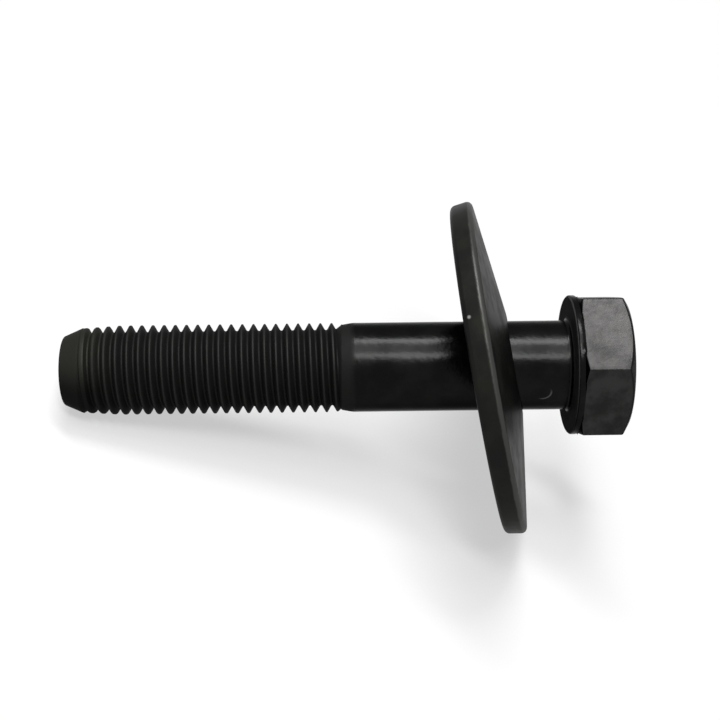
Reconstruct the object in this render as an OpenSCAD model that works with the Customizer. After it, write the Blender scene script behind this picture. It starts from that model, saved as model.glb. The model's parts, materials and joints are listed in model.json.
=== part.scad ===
// Hexagon bolt lying on a floor, with a loose dished washer leaning on its shank.
// Millimetres, +Z up. The bolt rests on the end of its chamfered point and on the washer's rim,
// with its axis in the XZ plane.

/* [Shank and thread] */
// Diameter of the plain shank and of the thread's crests
shank_d = 16; // [12:0.5:20]
// Length from the point to the bearing face of the head
bolt_length = 90; // [80:1:150]
// Length of the thread, from the point
thread_length = 49.5; // [30:0.5:55]
// Pitch of the right-hand thread
thread_pitch = 2; // [1.5:0.25:2.5]
// Length of the cone between the thread and the plain shank
neck_length = 1.9; // [1:0.1:6]
// How much thinner than the shank the cone starts
neck_drop = 0.7; // [0.2:0.1:1.2]

/* [Point] */
// How much thinner than the shank the flat end is
point_drop = 3.6; // [3.1:0.1:6]
// Length of the smooth chamfer from the end to the first turn of the thread
point_length = 3.2; // [2.5:0.1:4]
// How much thinner than the shank the first crest is
lead_drop = 0.8; // [0.2:0.1:1.2]
// Length over which the crests rise to full height, from the point
lead_length = 10; // [6:0.5:20]

/* [Head] */
// Width of the hexagon across its flats
head_flats = 24; // [22:0.5:30]
// Height of the head above the bearing face
head_height = 10; // [7:0.5:16]
// Diameter of the flat top
head_top_d = 22.9; // [18:0.1:24]
// Slope of the chamfer on the top corners
head_top_slope = 30; // [15:1:35]
// Turn of the hexagon about the bolt's axis
head_turn = -7.7; // [-30:0.1:30]
// Diameter of the round collar under the hexagon
collar_d = 25; // [22:0.1:25.5]
// Height of the collar
collar_height = 1.3; // [0.6:0.1:2]
// Bevel round the collar's bearing face
collar_bevel = 0.3; // [0.1:0.1:0.6]
// Slope of the underside of the hexagon's corners
corner_slope = 18; // [5:1:35]
// Radius of the fillet between shank and head
head_fillet = 0.8; // [0.3:0.1:1.2]

/* [Washer] */
// Outer diameter of the washer
washer_d = 60; // [50:1:80]
// Thickness of the washer's plate
washer_thickness = 4; // [2.5:0.1:6]
// Slope of the dished plate, crown towards the head
washer_dish = 7.5; // [3:0.5:10]
// Radius of the rounded rim edges
washer_edge = 1; // [0.4:0.1:1.2]
// Difference between the hole and the shank in diameter
washer_play = 1.5; // [1:0.1:2.5]
// Gap left on each side of the shank where the leaning hole comes nearest
lean_gap = 0.15; // [0.1:0.05:0.3]
// Distance from the bearing face to the middle of the washer's hole
washer_place = 11.4; // [11:0.1:25]

/* [Hidden] */
$fn = 96;

shank_r = shank_d / 2;
point_r = shank_r - point_drop / 2;
lead_r = shank_r - lead_drop / 2;
neck_r = shank_r - neck_drop / 2;
corner_r = head_flats / 2 / cos(30);
collar_r = collar_d / 2;
head_top_r = head_top_d / 2;
turning_r = corner_r + 1;
// How far the corners' underside starts inside the collar
corner_tuck = 0.2;

// Thread: a ridge with sloping flanks and a narrow crest, sunk a little into the core that carries it.
flank_slope = 30;
thread_steps = 24;
crest_half = thread_pitch / 16;
// Depth of a coarse metric thread, in pitches
depth_ratio = 0.6134;
root_r = shank_r - depth_ratio * thread_pitch;
ridge_sink = 0.15;
ridge_foot = root_r - ridge_sink;
foot_half = crest_half + (shank_r - ridge_foot) * tan(flank_slope);
// Length over which the groove fades at both ends of the thread
run_out = 0.6 * thread_pitch;
ridge_start = point_length - thread_pitch / 8;
ridge_end = thread_length + thread_pitch / 4;
ridge_rings = floor((ridge_end - ridge_start) / thread_pitch * thread_steps);
// Crest radius along the thread: it rises out of the point, leads in, runs full and sinks into the neck.
crest_line = [
    [ridge_start, root_r - ridge_sink / 2],
    [point_length + thread_pitch / 8, lead_r],
    [lead_length, shank_r],
    [ridge_end - thread_pitch, shank_r],
    [ridge_end, neck_r - ridge_sink / 2]
];
function crest_half_at(radius) = crest_half + (shank_r - radius) * tan(flank_slope);

// Washer: plate_length runs from the middle of the hole's wall to the rim, along the sloping plate.
hole_r = (shank_d + washer_play) / 2;
hole_wall = washer_thickness / cos(washer_dish);
edge_offset = washer_thickness / 2 - washer_edge;
rim_reach = washer_d / 2 - washer_edge - hole_r - edge_offset * sin(washer_dish);
plate_length = rim_reach / cos(washer_dish) + washer_edge;

// Lean: the washer tips until the two ends of its hole's wall come near the shank.
hole_diagonal = sqrt(pow(2 * hole_r, 2) + pow(hole_wall, 2));
lean = acos((shank_d + 2 * lean_gap) / hole_diagonal) - atan2(hole_wall, 2 * hole_r);

// Rest: the floor touches the end of the point's chamfer and the rounded lower rim of the washer.
// In the bolt's own frame +Z runs from the point to the head and +X points down to the floor.
tip_x = lead_r;
tip_z = point_length;
rim_x = hole_r + (plate_length - washer_edge) * cos(washer_dish) - edge_offset * sin(washer_dish);
rim_z = -(plate_length - washer_edge) * sin(washer_dish) - edge_offset * cos(washer_dish);
rest_x = rim_x * cos(lean) - rim_z * sin(lean);
rest_z = rim_x * sin(lean) + rim_z * cos(lean) + bolt_length - washer_place;
rest_span = norm([rest_x - tip_x, rest_z - tip_z]);
lie_angle = atan2(rest_x - tip_x, rest_z - tip_z) + asin(washer_edge / rest_span);
lift = tip_x * cos(lie_angle) - tip_z * sin(lie_angle);
left_end = -point_r * sin(lie_angle);
right_end = (bolt_length + head_height) * cos(lie_angle) + head_top_r * sin(lie_angle);
shift = -(left_end + right_end) / 2;

// Puts the bolt's own frame on the floor, with the middle of its length over the origin.
module laid() {
    translate([shift, 0, lift]) rotate([0, 90 - lie_angle, 0]) children();
}

// Half section of the turned bar: point, core of the thread, neck and plain shank.
module bar_section() {
    polygon([
        [0, 0],
        [point_r, 0],
        [lead_r, point_length],
        [root_r, point_length + run_out],
        [root_r, thread_length - run_out],
        [neck_r, thread_length],
        [shank_r, thread_length + neck_length],
        [shank_r, bolt_length + collar_bevel],
        [0, bolt_length + collar_bevel]
    ]);
}

// Half section of the hollow fillet between the shank and the bearing face.
module fillet_section() {
    difference() {
        translate([0, bolt_length - head_fillet]) square([shank_r + head_fillet, 2 * head_fillet]);
        translate([shank_r + head_fillet, bolt_length - head_fillet]) circle(head_fillet);
    }
}

// Half section of the round collar, with a bevelled bearing face.
module collar_section() {
    translate([0, bolt_length]) polygon([
        [0, 0],
        [collar_r - collar_bevel, 0],
        [collar_r, collar_bevel],
        [collar_r, collar_height],
        [0, collar_height]
    ]);
}

// Hexagon bar, turned down to chamfers on its top and under its corners.
module hexagon() {
    under_r = collar_r - corner_tuck;
    under_rise = (turning_r - under_r) * tan(corner_slope);
    top_fall = (turning_r - head_top_r) * tan(head_top_slope);
    translate([0, 0, bolt_length]) rotate(head_turn) intersection() {
        cylinder(r = corner_r, h = head_height, $fn = 6);
        rotate_extrude() polygon([
            [0, collar_height - corner_tuck],
            [under_r, collar_height - corner_tuck],
            [turning_r, collar_height - corner_tuck + under_rise],
            [turning_r, head_height - top_fall],
            [head_top_r, head_height],
            [0, head_height]
        ]);
    }
}

// Corners of the ridge's section at one step along its helix.
function ridge_ring(step) =
    let (
        z = ridge_start + step * thread_pitch / thread_steps,
        turn = 360 * step / thread_steps,
        crest = lookup(z, crest_line),
        half = crest_half_at(crest)
    )
    [for (corner = [[ridge_foot, -foot_half], [crest, -half], [crest, half], [ridge_foot, foot_half]])
        [corner.x * cos(turn), corner.x * sin(turn), z + corner.y]];

// Right-hand thread ridge, from inside the point to inside the neck.
module thread_ridge() {
    sides = 4;
    last = ridge_rings * sides;
    points = [for (step = [0 : ridge_rings]) each ridge_ring(step)];
    walls = [for (step = [0 : ridge_rings - 1]) for (side = [0 : sides - 1])
        let (here = step * sides + side, beside = step * sides + (side + 1) % sides)
        each [[here, beside, beside + sides], [here, beside + sides, here + sides]]];
    ends = [[3, 2, 1, 0], [last, last + 1, last + 2, last + 3]];
    polyhedron(points, concat(walls, ends), convexity = 10);
}

module hex_bolt() {
    color([0.16, 0.16, 0.165]) laid() union() {
        rotate_extrude() {
            bar_section();
            fillet_section();
            collar_section();
        }
        thread_ridge();
        hexagon();
    }
}

// Section of the washer's plate, from inside the hole's wall to the rounded rim.
module plate_section() {
    overlap = washer_thickness / 2;
    translate([hole_r, 0]) rotate(-washer_dish) {
        translate([-overlap, -washer_thickness / 2])
            square([overlap + plate_length - washer_edge, washer_thickness]);
        translate([-overlap, -edge_offset])
            square([overlap + plate_length, 2 * edge_offset]);
        for (side = [-1, 1])
            translate([plate_length - washer_edge, side * edge_offset]) circle(washer_edge);
    }
}

module dished_washer() {
    color([0.2, 0.2, 0.195]) laid() translate([0, 0, bolt_length - washer_place]) rotate([0, -lean, 0])
        difference() {
            rotate_extrude() plate_section();
            cylinder(r = hole_r, h = 4 * washer_thickness, center = true);
        }
}

hex_bolt();
dished_washer();
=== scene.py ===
"""Looks of a black hexagon bolt and the loose dished washer on its shank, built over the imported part."""

import json
from math import atan2, cos, hypot, pi, radians, sin, tan

import bmesh
import bpy
from bpy.props import FloatProperty, FloatVectorProperty, PointerProperty
from mathutils import Matrix, Vector


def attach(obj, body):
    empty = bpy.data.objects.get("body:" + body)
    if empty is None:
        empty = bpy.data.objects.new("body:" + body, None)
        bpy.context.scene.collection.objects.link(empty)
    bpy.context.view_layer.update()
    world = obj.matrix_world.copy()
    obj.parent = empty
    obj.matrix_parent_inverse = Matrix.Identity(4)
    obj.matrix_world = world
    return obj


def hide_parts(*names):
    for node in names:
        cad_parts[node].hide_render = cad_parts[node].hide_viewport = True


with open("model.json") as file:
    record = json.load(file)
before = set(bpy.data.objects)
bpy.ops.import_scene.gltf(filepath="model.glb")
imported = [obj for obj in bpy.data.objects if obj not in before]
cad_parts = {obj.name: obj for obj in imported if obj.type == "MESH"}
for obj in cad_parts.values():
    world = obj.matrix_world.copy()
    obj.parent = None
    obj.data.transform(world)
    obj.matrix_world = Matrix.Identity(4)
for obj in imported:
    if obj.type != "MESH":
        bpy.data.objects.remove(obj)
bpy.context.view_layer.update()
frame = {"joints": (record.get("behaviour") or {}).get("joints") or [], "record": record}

bl_info = {
    "name": "Black hexagon bolt",
    "version": (1, 0, 0),
    "blender": (4, 5, 0),
    "location": "3D View, Sidebar, Bolt",
    "description": "Makes a hexagon bolt, the loose washer on its shank, and a stage for its picture",
    "category": "Add Mesh",
}

BOLT_PIECE = "threaded_bolt"
WASHER_PIECE = "pressed_washer"
# Layer for the thread's rubbed crests and for the painted highlight along the washer's rim edge.
WEAR_AND_SHEEN_LAYER = "edge_wear_and_sheen"
RING_STEPS = 96
WASHER_STEPS = 192
SIXTH_TURN = pi / 3
FLOOR_SIZE = 8
SHEET_STEP = 220

# Sockets of a mix node that hold its two colours and its result
MIX_LOW = 6
MIX_HIGH = 7
MIX_RESULT = 2

# Angles of the thread's flanks, of edges shaded smooth and of edges broken on the head
FLANK_ANGLE = radians(30)
SMOOTH_ANGLE = radians(30)
SHARP_ANGLE = radians(24)

# Distances at which points merge and cuts snap
MERGE_GAP = 1e-6
CUT_GAP = 1e-7

# Where the wound thread ends and the turned shank starts, past the thread's length
THREAD_JOIN = 0.0005
SHANK_JOIN = 0.0009

# Roundings of the neck's end and of the collar's edges
NECK_ROUNDING = 0.006
COLLAR_ROUNDING = 0.0002

# Roughness that the blotches add, and depth of the grain's bump
BOLT_UNEVEN = 0.04
BOLT_GRAIN = 0.00005
WASHER_UNEVEN = 0.08
WASHER_GRAIN = 0.00001

# How far noise moves the limit of rubbed edges and of the washer's painted rim highlight, and how softly they
# fade
RUB_AND_SHEEN_SPREAD = 0.5
RUB_AND_SHEEN_FADE = 0.3

# Widths over which one finish of the bolt passes into the next
EDGE_FADE = 0.0001
NECK_FADE = 0.0008

# Where the painted shading on the point fades, along the axis, and where its painted light on the upper side
# passes downwards across it into painted shade
POINT_SHADING_ALONG = (0.004, 0.011)
POINT_SHADING_DOWN = (-0.006, -0.0005)

# Distances over which the scratch and the nick fade out, and how strong the scratch is
SCRATCH_REACH = (0.0008, 0.0019)
SCRATCH_STRENGTH = 0.5
NICK_REACH = (0.0001, 0.00042)


def length(name, description, default):
    """A property for one length, in metres."""
    return FloatProperty(name=name, description=description, default=default, precision=5,
                         subtype="DISTANCE", unit="LENGTH")


def angle(name, description, default):
    """A property for one angle, given in degrees and kept in radians."""
    return FloatProperty(name=name, description=description, default=radians(default),
                         subtype="ANGLE", unit="ROTATION")


def share(name, description, default):
    """A property for one value from 0 to 1."""
    return FloatProperty(name=name, description=description, default=default, min=0, max=1, subtype="FACTOR")


def colour(name, description, default):
    """A property for one linear colour."""
    return FloatVectorProperty(name=name, description=description, default=default, size=3, min=0, max=1,
                               subtype="COLOR")


def position(name, description, default):
    """A property for one position, in metres."""
    return FloatVectorProperty(name=name, description=description, default=default, size=3, precision=5,
                               subtype="XYZ", unit="LENGTH")


class BoltSizes(bpy.types.PropertyGroup):
    """Sizes of the bolt, measured along its axis from the flat end."""

    shank_radius: length("Shank radius", "Radius of the plain shank and of the thread's crests", 0.008)
    bolt_length: length("Length", "From the flat end to the bearing face of the head", 0.09)
    thread_length: length("Thread length", "Length of the thread from the flat end", 0.0495)
    pitch: length("Pitch", "Distance between neighbouring crests", 0.002)
    thread_depth: length("Thread depth", "From a crest to a root", 0.0012268)
    first_crest: length("First crest", "Place of the first crest on the lower side", 0.00295)
    root_rounding: length("Root rounding", "Radius in the roots of the rolled thread", 0.00026)
    crest_rounding: length("Crest rounding", "Radius on the edges of the crests", 0.0001)
    run_out: length("Run-out", "Length over which the groove fades at both ends of the thread", 0.0012)
    neck_length: length("Neck length", "Length of the cone between thread and shank", 0.0019)
    neck_drop: length("Neck drop", "How far below the shank's surface the cone starts", 0.00035)
    point_radius: length("Point radius", "Radius of the flat end", 0.0062)
    point_length: length("Point length", "Length of the smooth chamfer at the flat end", 0.0032)
    point_rounding: length("Point rounding", "Radius on the edge of the flat end", 0.0004)
    lead_drop: length("Lead drop", "How far below full height the first crests are", 0.0004)
    lead_length: length("Lead length", "Length over which the crests rise to full height", 0.01)
    head_flats: length("Flats", "Width of the hexagon across its flats", 0.024)
    head_height: length("Head height", "From the bearing face to the top", 0.01)
    head_top_radius: length("Top radius", "Radius of the flat top of the head", 0.01145)
    head_top_slope: angle("Top slope", "Slope of the chamfer on the top corners", 30)
    head_turn: angle("Head turn", "Turn of the hexagon about the axis", -7.7)
    collar_radius: length("Collar radius", "Radius of the round collar under the hexagon", 0.0125)
    collar_height: length("Collar height", "Height of the collar", 0.0013)
    collar_bevel: length("Collar bevel", "Bevel round the bearing face", 0.0003)
    corner_slope: angle("Corner slope", "Slope of the underside of the hexagon's corners", 18)
    corner_tuck: length("Corner tuck", "How far that underside starts inside the collar", 0.0002)
    fillet: length("Fillet", "Radius between the shank and the bearing face", 0.0008)
    edge_break: length("Edge break", "Width of the broken edges of the hexagon", 0.00022)


class WasherSizes(bpy.types.PropertyGroup):
    """Sizes of the washer and its place on the shank."""

    outer_radius: length("Outer radius", "Radius of the rim", 0.03)
    hole_radius: length("Hole radius", "Radius of the hole", 0.00875)
    thickness: length("Thickness", "Thickness of the plate", 0.004)
    dish: angle("Dish", "Slope of the plate, crown towards the head", 7.5)
    rim_rounding: length("Rim rounding", "Radius on the edges of the rim", 0.001)
    hole_rounding: length("Hole rounding", "Radius on the edges of the hole", 0.0003)
    head_gap: length("Gap to head", "From the bearing face to the middle of the hole", 0.0114)
    lean: angle("Lean", "How far the washer tips on the shank", 11.839)


class FinishValues(bpy.types.PropertyGroup):
    """Colours and gloss of the blackened steel."""

    oxide: colour("Oxide", "Blackened steel", (0.0068, 0.0068, 0.0069))
    # Also laid on the lower side of the point as painted shade.
    oxide_light_and_point_shade: colour("Light oxide", "Lighter blotches of the blackening", (0.0092, 0.0092, 0.0091))
    rolled: colour("Rolled", "Matte skin of the rolled thread", (0.015, 0.015, 0.0148))
    bearing: colour("Bearing face", "Matte bearing face under the head", (0.06, 0.06, 0.06))
    pressed: colour("Pressed", "Skin of the pressed washer", (0.0128, 0.0128, 0.0124))
    forged: colour("Forged", "Duller skin of the head", (0.0165, 0.0161, 0.016))
    forged_light: colour("Light forged", "Lighter blotches of the head", (0.031, 0.0303, 0.03))
    turned: colour("Turned", "Smoother turned chamfer on the head", (0.0125, 0.0125, 0.0124))
    olive: colour("Olive", "Faint olive tint of the washer", (0.0165, 0.0167, 0.0142))
    # Pale olive painted light on the upper side of the point, standing in for light falling from above.
    painted_shading: colour("Painted_point_light", "Pale olive stain on the upper side of the point", (0.0235, 0.0238, 0.0203))
    # Colour of rubbed edges and of the scratch, and of the painted highlight along the washer's rim edge.
    rubbed: colour("Rubbed_and_sheen", "Edges where the blackening is thin", (0.1, 0.1, 0.096))
    bare: colour("Bare", "Bright metal in a nick", (0.2, 0.2, 0.195))
    shank_gloss: share("Shank roughness", "Roughness of the turned shank", 0.2)
    thread_gloss: share("Thread roughness", "Roughness of the rolled thread and the bearing face", 0.5)
    thread_metal: share("Thread metal", "How metallic the matte skin of the thread is", 0.55)
    bearing_metal: share("Bearing metal", "How metallic the matte bearing face is", 0.2)
    head_gloss: share("Head roughness", "Roughness of the forged head", 0.32)
    washer_gloss: share("Washer roughness", "Roughness of the pressed washer", 0.42)
    bolt_grazing: share("Bolt grazing", "How much of the bolt's gloss is left at a grazing angle", 0.52)
    washer_grazing: share("Washer grazing", "How much of the washer's gloss is left at a grazing angle", 0.65)
    crest_wear: share("Crest wear", "How far the thread's crests are rubbed", 0.08)
    # Strength of the painted highlight along the washer's rim edge on the crown side.
    painted_rim_highlight: share("Rim wear", "How far the washer's edge is rubbed", 0.4)
    scratch_centre: position("Scratch centre", "Middle of the scratch's curve, on the bolt's own axes",
                             (-0.00075, -0.00797, 0.08455))
    scratch_middle: position("Scratch middle", "Middle of the scratch itself, on the bolt's own axes",
                             (0.00035, -0.00799, 0.0857))
    scratch_radius: length("Scratch radius", "Radius of the scratch's curve", 0.0016)
    scratch_width: length("Scratch width", "Half width of the scratch", 0.00022)
    nick_place: position("Nick", "Small bright nick in the rim, on the washer's own axes",
                         (-0.02538, -0.01553, -0.00355))


class StageValues(bpy.types.PropertyGroup):
    """Camera, lamps and floor for the picture."""

    camera_place: position("Camera place", "Where the camera stands", (-0.041599, -0.171721, 0.166927))
    camera_aim: position("Camera aim", "Point in the middle of the picture", (0.002705, 0.004973, 0.018463))
    camera_roll: angle("Camera roll", "Tilt of the camera that lays the bolt level in the picture", 20.503)
    lens: FloatProperty(name="Lens", description="Focal length in millimetres", default=63.84)
    lamp_distance: length("Lamp distance", "From the bolt to each strip lamp", 1.2)
    strip_length: length("Strip length", "Length of a lamp along the bolt", 0.56)
    strip_width: length("Strip width", "Width of a strip lamp", 0.18)
    slant: angle("Slant", "How far the lamps turn away from the bolt's axis", 42)
    lamp_shift: length("Lamp shift", "How far the lamps are moved along themselves, to the head", 0.2)
    front_lift: angle("Front lift", "How far above the camera the front strip hangs, seen from the bolt", 32)
    panel_lift: angle("Panel lift", "How far above the camera the soft panel hangs, seen from the bolt", 53)
    back_lift: angle("Back lift", "How far above the camera the back strip hangs, seen from the bolt", 72)
    panel_width: length("Panel width", "Width of the soft panel between the strips", 0.54)
    front_power: FloatProperty(name="Front lamp", description="Power of the strip nearer the camera",
                               default=7.0, subtype="POWER", unit="POWER")
    back_power: FloatProperty(name="Back lamp", description="Power of the strip beyond the bolt",
                              default=9.2, subtype="POWER", unit="POWER")
    panel_power: FloatProperty(name="Panel", description="Power of the soft panel between the strips",
                               default=4.8, subtype="POWER", unit="POWER")
    ambient: share("Ambient", "Strength of the even light all round", 0.08)
    floor_colour: colour("Floor", "Pale floor", (0.35, 0.35, 0.35))
    floor_lift: share("Floor lift", "Glow that brings the lit floor up to white", 0.55)
    floor_reach: length("Floor reach", "Distance at which the glow alone makes the floor white", 1.8)


def bolt_axes():
    """Place of the bolt's own axes: origin in the flat end, +Z towards the head, +X down."""
    sizes = bpy.context.scene.bolt_sizes
    axis = Vector(frame["joints"][0]["axis"]).normalized()
    side = Vector((0, 1, 0))
    down = side.cross(axis)
    top = next(mount["pos_m"] for mount in frame["record"]["mounts"] if mount["name"] == "head_top")
    origin = Vector(top) - axis * (sizes.bolt_length + sizes.head_height)
    return Matrix.Translation(origin) @ Matrix((down, side, axis)).transposed().to_4x4()


def washer_axes():
    """Place of the washer's own axes: origin in the middle of the hole, +Z towards the head."""
    along = bpy.context.scene.bolt_sizes.bolt_length - bpy.context.scene.washer_sizes.head_gap
    lean = Matrix.Rotation(-bpy.context.scene.washer_sizes.lean, 4, "Y")
    return bolt_axes() @ Matrix.Translation((0, 0, along)) @ lean


def line_at(points, along):
    """Radius on a broken line of (along, radius) points."""
    for (start, low), (end, high) in zip(points, points[1:]):
        if along <= end:
            return low + max(0.0, (along - start) / (end - start)) * (high - low)
    return points[-1][1]


def rounded(corners, steps):
    """Points of an open outline of (radius, along, rounding) corners, with an arc in steps at each."""
    points = [Vector(corners[0][:2])]
    for before, corner, after in zip(corners, corners[1:], corners[2:]):
        here = Vector(corner[:2])
        if corner[2] == 0:
            points.append(here)
            continue
        back = (Vector(before[:2]) - here).normalized()
        ahead = (Vector(after[:2]) - here).normalized()
        half = back.angle(ahead) / 2
        reach = corner[2] / tan(half)
        middle = here + (back + ahead).normalized() * (corner[2] / sin(half))
        start = (here + back * reach - middle).normalized()
        end = (here + ahead * reach - middle).normalized()
        points.extend(middle + start.slerp(end, step / steps) * corner[2] for step in range(steps + 1))
    points.append(Vector(corners[-1][:2]))
    return points


def begin_ring(name, steps, radius, along):
    """Add a bare circle about the Z axis and leave its loop selected in edit mode."""
    bpy.ops.object.select_all(action="DESELECT")
    bpy.ops.mesh.primitive_circle_add(vertices=steps, radius=radius, fill_type="NOTHING",
                                      location=(0, 0, along))
    bpy.ops.object.transform_apply(location=True, rotation=True, scale=True)
    piece = bpy.context.object
    piece.name = name
    bpy.ops.object.mode_set(mode="EDIT")
    bpy.ops.mesh.select_all(action="SELECT")
    return piece


def extrude_ring(piece, spot_at):
    """Extrude the selected loop and put each new vertex at the (radius, along) of its angle."""
    bpy.ops.mesh.extrude_region_move()
    mesh = bmesh.from_edit_mesh(piece.data)
    for vertex in mesh.verts:
        if vertex.select:
            turn = atan2(vertex.co.y, vertex.co.x)
            radius, along = spot_at(turn)
            vertex.co = (radius * cos(turn), radius * sin(turn), along)
    bmesh.update_edit_mesh(piece.data)


def extrude_outline(piece, outline):
    """Extrude the selected loop along a turned outline of (radius, along) points."""
    for point in outline:
        extrude_ring(piece, lambda turn, spot=point: (spot.x, spot.y))


def select_open_edges(piece, along=None):
    """Select the open edges of the mesh, all of them or those at one height."""
    bpy.ops.mesh.select_all(action="DESELECT")
    mesh = bmesh.from_edit_mesh(piece.data)
    for edge in mesh.edges:
        at_height = along is None or all(abs(end.co.z - along) < MERGE_GAP for end in edge.verts)
        if edge.is_boundary and at_height:
            edge.select_set(True)
    bmesh.update_edit_mesh(piece.data)


def close_up(piece):
    """Merge doubles, turn all faces outwards and leave edit mode."""
    bpy.ops.mesh.select_all(action="SELECT")
    bpy.ops.mesh.remove_doubles(threshold=MERGE_GAP)
    bpy.ops.mesh.normals_make_consistent(inside=False)
    bpy.ops.object.mode_set(mode="OBJECT")


def settle(piece, axes, finish):
    """Shade the piece, put its place into its mesh and give it its finish."""
    bpy.ops.object.shade_smooth_by_angle(angle=SMOOTH_ANGLE)
    flats = piece.modifiers.new("flats", "WEIGHTED_NORMAL")
    flats.keep_sharp = True
    bpy.ops.object.modifier_apply(modifier=flats.name)
    piece.matrix_world = axes
    bpy.ops.object.transform_apply(location=True, rotation=True, scale=True)
    piece.data.materials.clear()
    piece.data.materials.append(finish)


def thread_outline(sizes):
    """One pitch of the thread as (radius, along) points, from root to root."""
    root = sizes.shank_radius - sizes.thread_depth
    crest_half = sizes.pitch / 16
    flank = sizes.thread_depth * tan(FLANK_ANGLE)
    middle = sizes.pitch / 2

    def on_flank(rise, side):
        """A corner on one flank, at a share of the thread's depth."""
        return root + rise * sizes.thread_depth, middle + side * (crest_half + (1 - rise) * flank), 0

    return rounded([
        (root, 0, 0),
        (root, middle - crest_half - flank, sizes.root_rounding),
        on_flank(0.4, -1),
        on_flank(0.65, -1),
        (sizes.shank_radius, middle - crest_half, sizes.crest_rounding),
        (sizes.shank_radius, middle + crest_half, sizes.crest_rounding),
        on_flank(0.65, 1),
        on_flank(0.4, 1),
        (root, middle + crest_half + flank, sizes.root_rounding),
        (root, sizes.pitch, 0),
    ], steps=3)


def wind_thread(sizes):
    """Wind one pitch of the thread's outline round the axis, and trim its ends to the point and the neck."""
    outline = thread_outline(sizes)
    start = sizes.first_crest - 2.5 * sizes.pitch
    bpy.ops.object.select_all(action="DESELECT")
    bpy.ops.mesh.primitive_plane_add(size=sizes.pitch)
    piece = bpy.context.object
    bpy.ops.object.mode_set(mode="EDIT")
    bpy.ops.mesh.select_all(action="SELECT")
    bpy.ops.mesh.merge(type="CENTER")
    bpy.ops.transform.translate(value=(outline[0].x, 0, start + outline[0].y))
    for here, there in zip(outline, outline[1:]):
        step = (there.x - here.x, 0, there.y - here.y)
        bpy.ops.mesh.extrude_vertices_move(TRANSFORM_OT_translate={"value": step})
    bpy.ops.object.mode_set(mode="OBJECT")
    turns = piece.modifiers.new("turns", "SCREW")
    turns.axis = "Z"
    turns.screw_offset = sizes.pitch
    turns.iterations = int((sizes.thread_length + 2 * sizes.pitch - start) / sizes.pitch)
    turns.steps = RING_STEPS
    turns.render_steps = RING_STEPS
    bpy.ops.object.modifier_apply(modifier=turns.name)
    bpy.ops.object.mode_set(mode="EDIT")
    bpy.ops.mesh.select_all(action="SELECT")
    bpy.ops.mesh.remove_doubles(threshold=MERGE_GAP)
    for along in (sizes.point_length, sizes.thread_length):
        bpy.ops.mesh.select_all(action="SELECT")
        bpy.ops.mesh.bisect(plane_co=(0, 0, along), plane_no=(0, 0, 1), threshold=CUT_GAP)
    bpy.ops.object.mode_set(mode="OBJECT")
    trim_thread(piece, sizes)
    return piece


def core_line(sizes):
    """Surface of the bar without its thread, as (along, radius) points up to the plain shank."""
    root = sizes.shank_radius - sizes.thread_depth
    return [
        (0, sizes.point_radius),
        (sizes.point_length, sizes.shank_radius - sizes.lead_drop),
        (sizes.point_length + sizes.run_out, root),
        (sizes.thread_length - sizes.run_out, root),
        (sizes.thread_length, sizes.shank_radius - sizes.neck_drop),
        (sizes.thread_length + sizes.neck_length, sizes.shank_radius),
    ]


def trim_thread(piece, sizes):
    """Press the crests down at both ends of the thread, and lift its roots to the point and the neck."""
    core = core_line(sizes)
    lead = sizes.shank_radius - sizes.lead_drop
    start = sizes.point_length - sizes.pitch / 8
    end = sizes.thread_length + sizes.pitch / 4
    crests = [
        (start, sizes.point_radius),
        (sizes.point_length + sizes.pitch / 8, lead),
        (sizes.lead_length, sizes.shank_radius),
        (end - sizes.pitch, sizes.shank_radius),
        (end, sizes.shank_radius - sizes.neck_drop),
    ]
    for vertex in piece.data.vertices:
        radius = hypot(vertex.co.x, vertex.co.y)
        trimmed = max(line_at(core, vertex.co.z), min(radius, line_at(crests, vertex.co.z)))
        vertex.co.x *= trimmed / radius
        vertex.co.y *= trimmed / radius


def hexagon_radius(sizes, turn):
    """Distance from the axis to the hexagon's outline, with a corner at angle zero."""
    return sizes.head_flats / 2 / cos(turn % SIXTH_TURN - SIXTH_TURN / 2)


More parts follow.
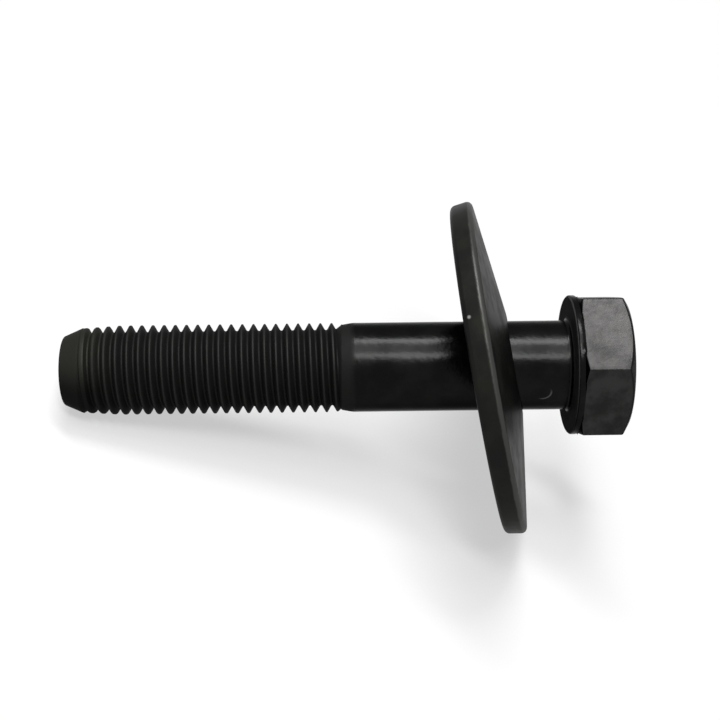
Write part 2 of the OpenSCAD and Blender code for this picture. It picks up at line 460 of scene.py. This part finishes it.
def make_head(sizes, start):
    """Turn the neck, shank and collar from one loop, and draw the hexagon up from the collar."""
    shank = sizes.shank_radius
    face = sizes.bolt_length
    top = face + sizes.head_height
    neck = core_line(sizes)
    outline = rounded([
        (line_at(neck, start), start, 0),
        (shank, neck[-1][0], NECK_ROUNDING),
        (shank, face, sizes.fillet),
        (sizes.collar_radius - sizes.collar_bevel, face, COLLAR_ROUNDING),
        (sizes.collar_radius, face + sizes.collar_bevel, COLLAR_ROUNDING),
        (sizes.collar_radius, face + sizes.collar_height / 2, 0),
    ], steps=5)
    collar_top = face + sizes.collar_height
    under = collar_top - sizes.corner_tuck + sizes.corner_tuck * tan(sizes.corner_slope)

    def collar_edge(turn):
        """Top of the collar, a little lower under the hexagon's corners."""
        if hexagon_radius(sizes, turn) > sizes.collar_radius:
            return sizes.collar_radius, under
        return sizes.collar_radius, collar_top

    def hexagon_foot(turn):
        """Lower edge of the hexagon, rising outwards under its corners."""
        radius = hexagon_radius(sizes, turn)
        if radius > sizes.collar_radius:
            return radius, under + (radius - sizes.collar_radius) * tan(sizes.corner_slope)
        return radius, collar_top

    def hexagon_top(turn):
        """Upper edge of the flats, cut by the chamfer's cone."""
        radius = hexagon_radius(sizes, turn)
        return radius, top - (radius - sizes.head_top_radius) * tan(sizes.head_top_slope)

    piece = begin_ring("head", RING_STEPS, outline[0].x, outline[0].y)
    extrude_outline(piece, outline[1:])
    extrude_ring(piece, collar_edge)
    extrude_ring(piece, hexagon_foot)
    extrude_ring(piece, hexagon_top)
    extrude_ring(piece, lambda turn: (sizes.head_top_radius, top))
    bpy.ops.mesh.edge_face_add()
    bpy.ops.mesh.select_all(action="SELECT")
    bpy.ops.mesh.normals_make_consistent(inside=False)
    bpy.ops.mesh.select_all(action="DESELECT")
    bpy.ops.mesh.edges_select_sharp(sharpness=SHARP_ANGLE)
    bpy.ops.mesh.bevel(offset=sizes.edge_break, segments=2)
    bpy.ops.object.mode_set(mode="OBJECT")
    piece.rotation_euler.z = sizes.head_turn
    bpy.ops.object.transform_apply(location=True, rotation=True, scale=True)
    return piece


def keep_wear_and_sheen(piece, wear_and_sheen_at):
    """Keep in the mesh a share for each point, from its radius and its place along the axis: wear on the
    bolt, painted highlight on the washer's rim.
    """
    layer = piece.data.attributes.new(WEAR_AND_SHEEN_LAYER, "FLOAT", "POINT")
    for vertex, entry in zip(piece.data.vertices, layer.data):
        entry.value = max(0.0, min(1.0, wear_and_sheen_at(hypot(vertex.co.x, vertex.co.y), vertex.co.z)))


def note_wear(piece, sizes):
    """Keep how far each point of the thread stands out of its roots, for the rubbed crests."""
    root = sizes.shank_radius - sizes.thread_depth

    def wear_and_sheen_at(radius, along):
        """None in the roots and on the shank, full on the crests."""
        return (radius - root) / sizes.thread_depth if along < sizes.thread_length else 0.0

    keep_wear_and_sheen(piece, wear_and_sheen_at)


def close_point(piece, sizes):
    """Cut the wound thread off near the flat end, round the edge of that end and close it."""
    rounding = sizes.point_rounding
    bpy.ops.mesh.select_all(action="SELECT")
    bpy.ops.mesh.bisect(plane_co=(0, 0, rounding), plane_no=(0, 0, 1), clear_inner=True, threshold=CUT_GAP)
    select_open_edges(piece, rounding)
    slope = (sizes.shank_radius - sizes.lead_drop - sizes.point_radius) / sizes.point_length
    edge = rounded([
        (sizes.point_radius + slope * rounding, rounding, 0),
        (sizes.point_radius, 0, rounding / 2),
        (sizes.point_radius - 2 * rounding, 0, 0),
    ], steps=4)
    extrude_outline(piece, edge[1:])
    bpy.ops.mesh.edge_face_add()


class MakeBolt(bpy.types.Operator):
    """Make the threaded bolt over its solid"""

    bl_idname = "bolt_kit.make_bolt"
    bl_label = "Make bolt"

    def execute(self, context):
        sizes = context.scene.bolt_sizes
        end = (0, 0, sizes.thread_length + THREAD_JOIN)
        thread = wind_thread(sizes)
        bpy.ops.object.mode_set(mode="EDIT")
        bpy.ops.mesh.select_all(action="SELECT")
        bpy.ops.mesh.bisect(plane_co=end, plane_no=(0, 0, 1), clear_outer=True, threshold=CUT_GAP)
        close_point(thread, sizes)
        bpy.ops.object.mode_set(mode="OBJECT")
        head = make_head(sizes, sizes.thread_length + SHANK_JOIN)
        bpy.ops.object.select_all(action="DESELECT")
        thread.select_set(True)
        head.select_set(True)
        context.view_layer.objects.active = head
        bpy.ops.object.join()
        head.name = BOLT_PIECE
        bpy.ops.object.mode_set(mode="EDIT")
        select_open_edges(head)
        bpy.ops.mesh.bridge_edge_loops()
        close_up(head)
        note_wear(head, sizes)
        settle(head, bolt_axes(), bolt_finish())
        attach(head, "bolt")
        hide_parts("hex_bolt")
        return {"FINISHED"}


class MakeWasher(bpy.types.Operator):
    """Make the dished washer over its solid"""

    bl_idname = "bolt_kit.make_washer"
    bl_label = "Make washer"

    def execute(self, context):
        sizes = context.scene.washer_sizes
        half = sizes.thickness / 2
        wall = half / cos(sizes.dish)
        offset = half - sizes.rim_rounding
        reach = sizes.outer_radius - sizes.rim_rounding - sizes.hole_radius - offset * sin(sizes.dish)
        plate = reach / cos(sizes.dish) + sizes.rim_rounding

        def on_plate(out, across):
            """Point of the sloping plate, some way out from the hole and across its thickness."""
            radius = sizes.hole_radius + out * cos(sizes.dish) + across * sin(sizes.dish)
            return radius, across * cos(sizes.dish) - out * sin(sizes.dish)

        outline = rounded([
            (sizes.hole_radius, 0, 0),
            (sizes.hole_radius, wall, sizes.hole_rounding),
            (*on_plate(plate / 2, half), 0),
            (*on_plate(plate, half), sizes.rim_rounding),
            (*on_plate(plate, -half), sizes.rim_rounding),
            (*on_plate(plate / 2, -half), 0),
            (sizes.hole_radius, -wall, sizes.hole_rounding),
            (sizes.hole_radius, 0, 0),
        ], steps=6)
        washer = begin_ring(WASHER_PIECE, WASHER_STEPS, outline[0].x, outline[0].y)
        extrude_outline(washer, outline[1:])
        close_up(washer)
        # Painted highlight along the rim edge on the crown side, full on that edge and gone one rounding
        # away.
        edge = Vector(on_plate(plate - 0.3 * sizes.rim_rounding, half - 0.3 * sizes.rim_rounding))

        def wear_and_sheen_at(radius, along):
            """Full on the crown side's outer edge, none a rounding away."""
            return 1 - (Vector((radius, along)) - edge).length / sizes.rim_rounding

        keep_wear_and_sheen(washer, wear_and_sheen_at)
        settle(washer, washer_axes(), washer_finish())
        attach(washer, "washer")
        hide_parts("dished_washer")
        return {"FINISHED"}


def add_node(tree, kind, spot, **settings):
    """Add a node at a spot of the node sheet, with its settings."""
    node = tree.nodes.new(kind)
    node.location = (spot[0] * SHEET_STEP, spot[1] * -SHEET_STEP)
    for name, value in settings.items():
        setattr(node, name, value)
    return node


def set_sockets(node, **values):
    """Set input sockets, named with underscores for spaces."""
    for name, value in values.items():
        node.inputs[name.replace("_", " ")].default_value = value


def begin_group(name, inputs, outputs):
    """Start a shared effect with named sockets and return its tree, its input node and its output node."""
    tree = bpy.data.node_groups.new(name, "ShaderNodeTree")
    for socket, kind, value in inputs:
        entry = tree.interface.new_socket(socket, in_out="INPUT", socket_type=kind)
        if value is not None:
            entry.default_value = value
    for socket in outputs:
        tree.interface.new_socket(socket, in_out="OUTPUT", socket_type="NodeSocketFloat")
    return tree, add_node(tree, "NodeGroupInput", (0, 0)), add_node(tree, "NodeGroupOutput", (6, 0))


def mottle_group():
    """Blotches of lighter blackening, and the fine grain of its crystals."""
    tree, start, end = begin_group("Mottled oxide", [
        ("Vector", "NodeSocketVector", None),
        ("Blotch Scale", "NodeSocketFloat", 220.0),
        ("Grain Scale", "NodeSocketFloat", 2600.0),
    ], ["Tone", "Grain"])
    blotches = add_node(tree, "ShaderNodeTexNoise", (1, 0))
    set_sockets(blotches, Detail=5.0, Roughness=0.62)
    spread = add_node(tree, "ShaderNodeMapRange", (3, 0), interpolation_type="SMOOTHSTEP")
    set_sockets(spread, From_Min=0.38, From_Max=0.66)
    grain = add_node(tree, "ShaderNodeTexNoise", (1, 1))
    set_sockets(grain, Detail=3.0, Roughness=0.6)
    tree.links.new(start.outputs["Vector"], blotches.inputs["Vector"])
    tree.links.new(start.outputs["Blotch Scale"], blotches.inputs["Scale"])
    tree.links.new(blotches.outputs["Fac"], spread.inputs["Value"])
    tree.links.new(spread.outputs["Result"], end.inputs["Tone"])
    tree.links.new(start.outputs["Vector"], grain.inputs["Vector"])
    tree.links.new(start.outputs["Grain Scale"], grain.inputs["Scale"])
    tree.links.new(grain.outputs["Fac"], end.inputs["Grain"])
    return tree


def rub_and_sheen_group():
    """Edges where handling has thinned the blackening, and the painted highlight along the washer's rim edge,
    broken up by noise.
    """
    tree, start, end = begin_group("Rubbed edges", [
        ("Vector", "NodeSocketVector", None),
        ("Wear", "NodeSocketFloat", 0.0),
        ("Reach", "NodeSocketFloat", 0.75),
    ], ["Mask"])
    patches = add_node(tree, "ShaderNodeTexNoise", (1, 1))
    set_sockets(patches, Scale=420.0, Detail=4.0, Roughness=0.65)
    uneven = add_node(tree, "ShaderNodeMath", (2, 1), operation="MULTIPLY_ADD")
    uneven.inputs[1].default_value = RUB_AND_SHEEN_SPREAD
    uneven.inputs[2].default_value = -RUB_AND_SHEEN_SPREAD / 2
    total = add_node(tree, "ShaderNodeMath", (3, 0), operation="ADD")
    far = add_node(tree, "ShaderNodeMath", (3, 1), operation="ADD")
    far.inputs[1].default_value = RUB_AND_SHEEN_FADE
    mask = add_node(tree, "ShaderNodeMapRange", (4, 0), interpolation_type="SMOOTHSTEP")
    tree.links.new(start.outputs["Vector"], patches.inputs["Vector"])
    tree.links.new(patches.outputs["Fac"], uneven.inputs[0])
    tree.links.new(start.outputs["Wear"], total.inputs[0])
    tree.links.new(uneven.outputs["Value"], total.inputs[1])
    tree.links.new(start.outputs["Reach"], far.inputs[0])
    tree.links.new(total.outputs["Value"], mask.inputs["Value"])
    tree.links.new(start.outputs["Reach"], mask.inputs["From Min"])
    tree.links.new(far.outputs["Value"], mask.inputs["From Max"])
    tree.links.new(mask.outputs["Result"], end.inputs["Mask"])
    return tree


def shared_group(name, build):
    """The shared effect of that name, built on its first use."""
    return bpy.data.node_groups.get(name) or build()


def own_axes(tree, axes, spot):
    """Coordinates on a piece's own axes, from its Object coordinates."""
    source = add_node(tree, "ShaderNodeTexCoord", spot)
    turned = add_node(tree, "ShaderNodeMapping", (spot[0] + 1, spot[1]), vector_type="TEXTURE")
    set_sockets(turned, Location=axes.to_translation(), Rotation=axes.to_euler())
    tree.links.new(source.outputs["Object"], turned.inputs["Vector"])
    return turned.outputs["Vector"]


def begin_finish(name):
    """Start a material and return it with its tree and its shader."""
    finish = bpy.data.materials.new(name)
    finish.use_nodes = True
    return finish, finish.node_tree, finish.node_tree.nodes["Principled BSDF"]


def place_group(tree, group, spot, **values):
    """Place a shared effect in a material with its own values."""
    node = add_node(tree, "ShaderNodeGroup", spot, node_tree=group)
    set_sockets(node, **values)
    return node


def blend(tree, spot, mask, low, high):
    """Mix two colours by a mask. Either may be a socket."""
    node = add_node(tree, "ShaderNodeMix", spot, data_type="RGBA")
    tree.links.new(mask, node.inputs["Factor"])
    for socket, value in ((node.inputs[MIX_LOW], low), (node.inputs[MIX_HIGH], high)):
        if isinstance(value, bpy.types.NodeSocket):
            tree.links.new(value, socket)
        else:
            socket.default_value = (*value, 1)
    return node.outputs[MIX_RESULT]


def ramp(tree, spot, value, start, end, low=0.0, high=1.0):
    """Carry a value smoothly from low to high between two limits."""
    node = add_node(tree, "ShaderNodeMapRange", spot, interpolation_type="SMOOTHSTEP")
    set_sockets(node, From_Min=start, From_Max=end, To_Min=low, To_Max=high)
    tree.links.new(value, node.inputs["Value"])
    return node.outputs["Result"]


def maths(tree, spot, operation, first, second):
    """Combine a socket with another socket or a number."""
    node = add_node(tree, "ShaderNodeMath", spot, operation=operation)
    tree.links.new(first, node.inputs[0])
    if isinstance(second, bpy.types.NodeSocket):
        tree.links.new(second, node.inputs[1])
    else:
        node.inputs[1].default_value = second
    return node.outputs["Value"]


def relief(tree, spot, height, shader, depth):
    """Lead a height to the shader's normal through a bump."""
    bump = add_node(tree, "ShaderNodeBump", spot)
    set_sockets(bump, Strength=0.6, Distance=depth)
    tree.links.new(height, bump.inputs["Height"])
    tree.links.new(bump.outputs["Normal"], shader.inputs["Normal"])


def darken_metal(shader, grazing):
    """Make the shader a metal whose gloss stays low at grazing angles, with no gloss where it turns matte."""
    shader.inputs["Metallic"].default_value = 1.0
    shader.inputs["Specular IOR Level"].default_value = 0.0
    shader.inputs["Specular Tint"].default_value = (grazing, grazing, grazing, 1)


def near_point(tree, spot, vector, point, inner, outer):
    """A mask of one round a point, falling to zero between two distances."""
    gap = add_node(tree, "ShaderNodeVectorMath", spot, operation="DISTANCE")
    gap.inputs[1].default_value = point
    tree.links.new(vector, gap.inputs[0])
    return ramp(tree, (spot[0] + 1, spot[1]), gap.outputs["Value"], inner, outer, 1.0, 0.0)


def arc_scratch(tree, spot, vector, values):
    """A mask of a thin curved scratch: part of a ring round a point of the shank."""
    gap = add_node(tree, "ShaderNodeVectorMath", spot, operation="DISTANCE")
    gap.inputs[1].default_value = values.scratch_centre
    tree.links.new(vector, gap.inputs[0])
    off_line = maths(tree, (spot[0] + 1, spot[1]), "SUBTRACT", gap.outputs["Value"], values.scratch_radius)
    off_line = maths(tree, (spot[0] + 2, spot[1]), "ABSOLUTE", off_line, 0)
    width = values.scratch_width
    line = ramp(tree, (spot[0] + 3, spot[1]), off_line, width / 4, width, 1.0, 0.0)
    part = near_point(tree, (spot[0] + 1, spot[1] + 1), vector, values.scratch_middle, *SCRATCH_REACH)
    faint = maths(tree, (spot[0] + 3, spot[1] + 1), "MULTIPLY", part, SCRATCH_STRENGTH)
    return maths(tree, (spot[0] + 4, spot[1]), "MULTIPLY", line, faint)


def head_chamfer(tree, spot, vector, along, sizes):
    """A mask of the turned cone on the top corners of the head."""
    across = add_node(tree, "ShaderNodeVectorMath", spot, operation="MULTIPLY")
    across.inputs[1].default_value = (1, 1, 0)
    tree.links.new(vector, across.inputs[0])
    radius = add_node(tree, "ShaderNodeVectorMath", (spot[0] + 1, spot[1]), operation="LENGTH")
    tree.links.new(across.outputs["Vector"], radius.inputs[0])
    past = maths(tree, (spot[0] + 2, spot[1]), "SUBTRACT", radius.outputs["Value"], sizes.head_top_radius)
    fall = maths(tree, (spot[0] + 3, spot[1]), "MULTIPLY", past, tan(sizes.head_top_slope))
    level = maths(tree, (spot[0] + 4, spot[1]), "ADD", fall, along)
    top = sizes.bolt_length + sizes.head_height
    on_cone = ramp(tree, (spot[0] + 5, spot[1]), level, top - 3 * EDGE_FADE, top - EDGE_FADE)
    outside = ramp(tree, (spot[0] + 5, spot[1] + 1), past, -EDGE_FADE, EDGE_FADE)
    return maths(tree, (spot[0] + 6, spot[1]), "MINIMUM", on_cone, outside)


def bolt_finish():
    """Blackened steel: turned shank with a scratch, rolled thread, forged head, and on the point painted
    light in pale olive on its upper side and painted shade on its lower side.
    """
    values = bpy.context.scene.finish_values
    sizes = bpy.context.scene.bolt_sizes
    finish, tree, shader = begin_finish("black_bolt")
    darken_metal(shader, values.bolt_grazing)
    vector = own_axes(tree, bolt_axes(), (-12, 0))
    parts = add_node(tree, "ShaderNodeSeparateXYZ", (-10, 1))
    tree.links.new(vector, parts.inputs["Vector"])
    along = parts.outputs["Z"]
    mottle = place_group(tree, shared_group("Mottled oxide", mottle_group), (-9, 0), Grain_Scale=1100.0)
    tree.links.new(vector, mottle.inputs["Vector"])
    tone = mottle.outputs["Tone"]
    wear = add_node(tree, "ShaderNodeAttribute", (-10, 2), attribute_name=WEAR_AND_SHEEN_LAYER)
    rub_and_sheen = place_group(tree, shared_group("Rubbed edges", rub_and_sheen_group), (-9, 2), Reach=0.7)
    tree.links.new(vector, rub_and_sheen.inputs["Vector"])
    tree.links.new(wear.outputs["Fac"], rub_and_sheen.inputs["Wear"])
    neck_end = sizes.thread_length + sizes.neck_length
    thread = ramp(tree, (-9, 3), along, neck_end - NECK_FADE, neck_end + NECK_FADE, 1.0, 0.0)
    face = sizes.bolt_length
    hexagon = face + sizes.collar_height
    head = ramp(tree, (-9, 4), along, hexagon - 2 * EDGE_FADE, hexagon + EDGE_FADE)
    before = ramp(tree, (-9, 5), along, face - sizes.collar_bevel, face)
    behind = ramp(tree, (-9, 6), along, face + EDGE_FADE, face + sizes.collar_bevel, 1.0, 0.0)
    bearing = maths(tree, (-8, 5), "MINIMUM", before, behind)
    matte = maths(tree, (-7, 5), "MAXIMUM", thread, bearing)
    # Painted shading on the point: pale olive painted light on its upper side, the darker light oxide as
    # painted shade on its lower side.
    point = ramp(tree, (-9, 7), along, *POINT_SHADING_ALONG, 1.0, 0.0)
    upper = ramp(tree, (-9, 8), parts.outputs["X"], *POINT_SHADING_DOWN, 1.0, 0.0)
    painted_shading = blend(tree, (-7, 7), upper, values.oxide_light_and_point_shade, values.painted_shading)
    scratch = arc_scratch(tree, (-9, 9), vector, values)
    base = blend(tree, (-7, 0), tone, values.oxide, values.oxide_light_and_point_shade)
    base = blend(tree, (-6, 0), thread, base, values.rolled)
    base = blend(tree, (-6, 1), bearing, base, values.bearing)
    base = blend(tree, (-5, 0), point, base, painted_shading)
    forged = blend(tree, (-5, 1), tone, values.forged, values.forged_light)
    base = blend(tree, (-4, 0), head, base, forged)
    base = blend(tree, (-4, 1), head_chamfer(tree, (-9, 14), vector, along, sizes), base, values.turned)
    worn_and_sheen = maths(tree, (-4, 2), "MULTIPLY", rub_and_sheen.outputs["Mask"], values.crest_wear)
    base = blend(tree, (-3, 0), worn_and_sheen, base, values.rubbed)
    base = blend(tree, (-2, 0), scratch, base, values.rubbed)
    tree.links.new(base, shader.inputs["Base Color"])
    thread_metal = ramp(tree, (-5, 5), thread, 0, 1, 1.0, values.thread_metal)
    bearing_metal = ramp(tree, (-5, 6), bearing, 0, 1, 1.0, values.bearing_metal)
    metal = maths(tree, (-4, 5), "MINIMUM", thread_metal, bearing_metal)
    tree.links.new(metal, shader.inputs["Metallic"])
    on_thread = maths(tree, (-6, 3), "MULTIPLY", matte, values.thread_gloss - values.shank_gloss)
    on_head = maths(tree, (-6, 4), "MULTIPLY", head, values.head_gloss - values.shank_gloss)
    uneven = ramp(tree, (-6, 5), tone, 0, 1, values.shank_gloss, values.shank_gloss + BOLT_UNEVEN)
    gloss = maths(tree, (-5, 3), "ADD", uneven, on_thread)
    gloss = maths(tree, (-4, 3), "ADD", gloss, on_head)
    tree.links.new(gloss, shader.inputs["Roughness"])
    relief(tree, (-2, 3), mottle.outputs["Grain"], shader, BOLT_GRAIN)
    return finish


def washer_finish():
    """Blackened steel of the pressed washer, faintly olive, with a painted highlight along the rim's edge,
    and nicked once.
    """
    values = bpy.context.scene.finish_values
    finish, tree, shader = begin_finish("black_washer")
    darken_metal(shader, values.washer_grazing)
    vector = own_axes(tree, washer_axes(), (-10, 0))
    mottle = place_group(tree, shared_group("Mottled oxide", mottle_group), (-8, 0), Blotch_Scale=150.0)
    tree.links.new(vector, mottle.inputs["Vector"])
    tone = mottle.outputs["Tone"]
    # Painted highlight along the crown side's rim edge, read from the mesh layer and broken up by noise.
    wear = add_node(tree, "ShaderNodeAttribute", (-9, 2), attribute_name=WEAR_AND_SHEEN_LAYER)
    rub_and_sheen = place_group(tree, shared_group("Rubbed edges", rub_and_sheen_group), (-8, 2), Reach=0.4)
    tree.links.new(vector, rub_and_sheen.inputs["Vector"])
    tree.links.new(wear.outputs["Fac"], rub_and_sheen.inputs["Wear"])
    nick = near_point(tree, (-8, 4), vector, values.nick_place, *NICK_REACH)
    base = blend(tree, (-6, 0), tone, values.pressed, values.olive)
    # Laid on in the rubbed colour as a painted highlight.
    worn_and_sheen = maths(tree, (-6, 2), "MULTIPLY", rub_and_sheen.outputs["Mask"], values.painted_rim_highlight)
    base = blend(tree, (-5, 0), worn_and_sheen, base, values.rubbed)
    base = blend(tree, (-4, 0), nick, base, values.bare)
    tree.links.new(base, shader.inputs["Base Color"])
    uneven = ramp(tree, (-4, 2), tone, 0, 1, values.washer_gloss, values.washer_gloss + WASHER_UNEVEN)
    tree.links.new(uneven, shader.inputs["Roughness"])
    relief(tree, (-2, 3), mottle.outputs["Grain"], shader, WASHER_GRAIN)
    return finish


def aim_matrix(spot, back, across):
    """Matrix of something at a spot whose own +Z points back and whose own +X lies nearest to across."""
    back = back.normalized()
    up = back.cross(across).normalized()
    right = up.cross(back)
    return Matrix.Translation(spot) @ Matrix((right, up, back)).transposed().to_4x4()


def seen_directly(tree):
    """One for rays from the camera and for those mirrored or passed on to it, zero for the rest."""
    path = add_node(tree, "ShaderNodeLightPath", (-6, 2))
    mirrored = maths(tree, (-5, 2), "MAXIMUM", path.outputs["Is Camera Ray"], path.outputs["Is Glossy Ray"])
    return maths(tree, (-4, 2), "MAXIMUM", mirrored, path.outputs["Is Transmission Ray"])


def floor_finish(values):
    """Pale floor that keeps the shadow, with a glow that brings its lit part up to white."""
    finish, tree, shader = begin_finish("pale_floor")
    shader.inputs["Base Color"].default_value = (*values.floor_colour, 1)
    shader.inputs["Roughness"].default_value = 1.0
    shader.inputs["Specular IOR Level"].default_value = 0.0
    shader.inputs["Emission Color"].default_value = (1, 1, 1, 1)
    source = add_node(tree, "ShaderNodeTexCoord", (-6, 4))
    gap = add_node(tree, "ShaderNodeVectorMath", (-5, 4), operation="LENGTH")
    tree.links.new(source.outputs["Object"], gap.inputs[0])
    lift = ramp(tree, (-4, 4), gap.outputs["Value"], 0, values.floor_reach, values.floor_lift, 1.0)
    glow = maths(tree, (-2, 2), "MULTIPLY", seen_directly(tree), lift)
    tree.links.new(glow, shader.inputs["Emission Strength"])
    return finish


def light_world(values):
    """White surroundings for the camera and for reflections, and a lower even light for the rest."""
    world = bpy.data.worlds.new("white_room")
    world.use_nodes = True
    tree = world.node_tree
    background = tree.nodes["Background"]
    background.inputs["Color"].default_value = (1, 1, 1, 1)
    strength = ramp(tree, (-2, 0), seen_directly(tree), 0, 1, values.ambient, 1.0)
    tree.links.new(strength, background.inputs["Strength"])
    bpy.context.scene.world = world


def hang_lamp(name, direction, across, width, power, values):
    """Hang a long lamp over the bolt, in one direction from it and lying along another."""
    lamp = bpy.data.lights.new(name, "AREA")
    lamp.shape = "RECTANGLE"
    lamp.size = values.strip_length
    lamp.size_y = width
    lamp.energy = power
    strip = bpy.data.objects.new(name, lamp)
    bpy.context.scene.collection.objects.link(strip)
    middle = direction * values.lamp_distance + across * values.lamp_shift
    strip.matrix_world = aim_matrix(middle, direction, across)


class SetStage(bpy.types.Operator):
    """Set the camera, the lamps, the surroundings and the floor"""

    bl_idname = "bolt_kit.set_stage"
    bl_label = "Set stage"

    def execute(self, context):
        values = context.scene.stage_values
        eye = Vector(values.camera_place)
        back = (eye - Vector(values.camera_aim)).normalized()
        level = Vector((0, 0, 1)).cross(back).normalized()
        right = Matrix.Rotation(values.camera_roll, 3, back) @ level
        camera_data = bpy.data.cameras.new("camera")
        camera_data.lens = values.lens
        camera_data.clip_start = 0.01
        camera = bpy.data.objects.new("camera", camera_data)
        context.scene.collection.objects.link(camera)
        camera.matrix_world = aim_matrix(eye, back, right)
        context.scene.camera = camera
        up = back.cross(right)
        axis = Vector(frame["joints"][0]["axis"])
        for name, lift, width, power in (
            ("front_strip", values.front_lift, values.strip_width, values.front_power),
            ("soft_panel", values.panel_lift, values.panel_width, values.panel_power),
            ("back_strip", values.back_lift, values.strip_width, values.back_power),
        ):
            direction = back * cos(lift) + up * sin(lift)
            rise = up * cos(lift) - back * sin(lift)
            across = axis * cos(values.slant) - rise * sin(values.slant)
            hang_lamp(name, direction, across, width, power, values)
        light_world(values)
        bpy.ops.object.select_all(action="DESELECT")
        bpy.ops.mesh.primitive_plane_add(size=FLOOR_SIZE)
        floor = context.object
        floor.name = "floor"
        floor.data.materials.append(floor_finish(values))
        context.scene.view_settings.view_transform = "Standard"
        return {"FINISHED"}


class BoltPanel(bpy.types.Panel):
    """Sizes, finish and stage of the bolt"""

    bl_idname = "VIEW3D_PT_bolt_kit"
    bl_label = "Black hexagon bolt"
    bl_space_type = "VIEW_3D"
    bl_region_type = "UI"
    bl_category = "Bolt"

    def draw(self, context):
        makers = {"bolt_sizes": MakeBolt, "washer_sizes": MakeWasher, "stage_values": SetStage}
        for group in GROUPS:
            box = self.layout.box()
            values = getattr(context.scene, group)
            for name in values.bl_rna.properties.keys():
                if name not in ("name", "rna_type"):
                    box.prop(values, name)
            if group in makers:
                box.operator(makers[group].bl_idname)


GROUPS = {
    "bolt_sizes": BoltSizes,
    "washer_sizes": WasherSizes,
    "finish_values": FinishValues,
    "stage_values": StageValues,
}
OTHERS = (MakeBolt, MakeWasher, SetStage, BoltPanel)


def register():
    """Add the classes and their values to Blender."""
    for name, group in GROUPS.items():
        bpy.utils.register_class(group)
        setattr(bpy.types.Scene, name, PointerProperty(type=group))
    for other in OTHERS:
        bpy.utils.register_class(other)


def unregister():
    """Take the classes and their values out of Blender."""
    for other in reversed(OTHERS):
        bpy.utils.unregister_class(other)
    for name, group in GROUPS.items():
        delattr(bpy.types.Scene, name)
        bpy.utils.unregister_class(group)


def main():
    """Make the pieces and the stage."""
    register()
    bpy.ops.bolt_kit.make_bolt()
    bpy.ops.bolt_kit.make_washer()
    bpy.ops.bolt_kit.set_stage()


if __name__ == "__main__":
    main()
